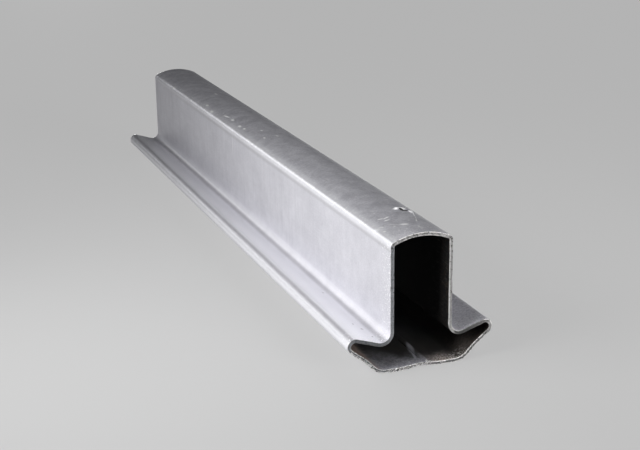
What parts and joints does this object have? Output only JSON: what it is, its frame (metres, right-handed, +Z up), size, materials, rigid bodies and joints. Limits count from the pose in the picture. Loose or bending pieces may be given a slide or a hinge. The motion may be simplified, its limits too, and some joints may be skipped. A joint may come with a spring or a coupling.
{
  "type": "closed hat profile",
  "caption": "Cut length of closed roll-formed steel hat profile: a tall narrow box with a crowned top on a hollow foot that flares into rolled wings.",
  "frame": {"origin": "middle of the length, centre of the base, on the plane it lies on", "axes": "+X across the profile, +Y along it, +Z up through the crown"},
  "size_m": [0.064, 0.377, 0.0575],
  "materials": {
    "galvanised_steel": "galvanised, satin, lightly scratched"
  },
  "bodies": {
    "root": {"hat_profile": "galvanised_steel"}
  },
  "joints": []
}
